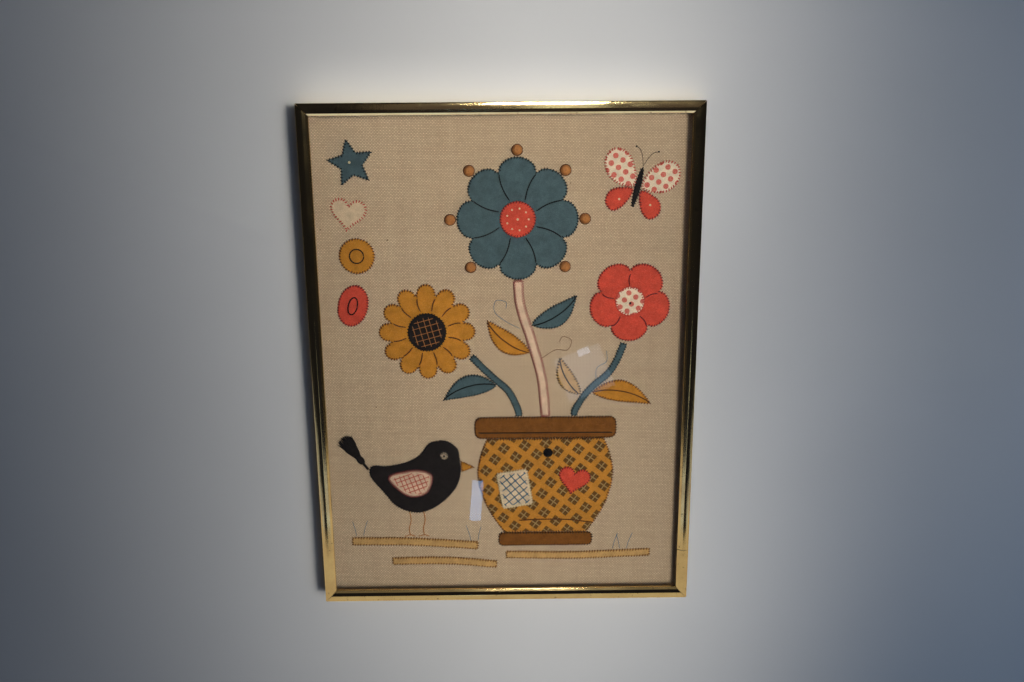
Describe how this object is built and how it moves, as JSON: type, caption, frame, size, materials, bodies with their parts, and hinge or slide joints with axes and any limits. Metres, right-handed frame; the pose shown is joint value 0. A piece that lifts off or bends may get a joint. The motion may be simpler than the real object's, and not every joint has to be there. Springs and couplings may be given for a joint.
{
  "type": "framed needlework",
  "caption": "Felt applique flower pot with blooms, a bird and a butterfly on stretched linen, behind glass in a mitred gold metal picture frame.",
  "frame": {"origin": "on the surface that the frame lies on, under the middle of its outer rectangle", "axes": "+Z out of the picture's face, +Y towards the picture's top edge, +X to the right of someone looking at the face"},
  "size_m": [0.311, 0.413, 0.018],
  "materials": {
    "gold_metal": "polished, gold anodised",
    "clear_glass": "clear, polished",
    "linen": "plain evenweave",
    "fibreboard": "plain hardboard",
    "plaid_felt": "mustard cloth with a printed dark check",
    "mustard_felt": "felted",
    "brown_felt": "felted",
    "tan_felt": "felted",
    "teal_felt": "felted",
    "coral_felt": "felted",
    "orange_felt": "felted",
    "cream_felt": "felted",
    "dotted_felt": "cream cloth with printed coral dots",
    "pink_felt": "felted",
    "black_felt": "felted"
  },
  "bodies": {
    "root": {"moulding_top": "gold_metal", "moulding_bottom": "gold_metal", "moulding_left": "gold_metal", "moulding_right": "gold_metal", "glass_pane": "clear_glass", "linen_ground": "linen", "backing_board": "fibreboard", "pot_body": "plaid_felt", "pot_rim": "brown_felt", "pot_foot": "brown_felt", "pot_square": "cream_felt", "pot_heart": "coral_felt", "pot_button": "black_felt", "stem_main": "pink_felt", "stem_left": "teal_felt", "stem_right": "teal_felt", "leaf_main_left": "mustard_felt", "leaf_main_right": "teal_felt", "leaf_left": "teal_felt", "leaf_right": "mustard_felt", "leaf_inner": "tan_felt", "teal_bloom": "teal_felt", "teal_bloom_centre": "coral_felt", "mustard_bloom": "mustard_felt", "mustard_bloom_centre": "black_felt", "coral_bloom": "coral_felt", "coral_bloom_centre": "dotted_felt", "berry_1": "orange_felt", "berry_2": "orange_felt", "berry_3": "orange_felt", "berry_4": "orange_felt", "berry_5": "orange_felt", "berry_6": "orange_felt", "berry_7": "orange_felt", "bird_body": "black_felt", "bird_wing": "pink_felt", "bird_beak": "mustard_felt", "bird_eye": "cream_felt", "tail_tassel": "black_felt", "butterfly_body": "black_felt", "upper_wing_left": "dotted_felt", "upper_wing_right": "dotted_felt", "lower_wing_left": "coral_felt", "lower_wing_right": "coral_felt", "small_star": "teal_felt", "small_heart": "cream_felt", "small_disc": "mustard_felt", "small_oval": "coral_felt", "ground_bar_left": "tan_felt", "ground_bar_middle": "tan_felt", "ground_bar_right": "tan_felt"}
  },
  "joints": []
}
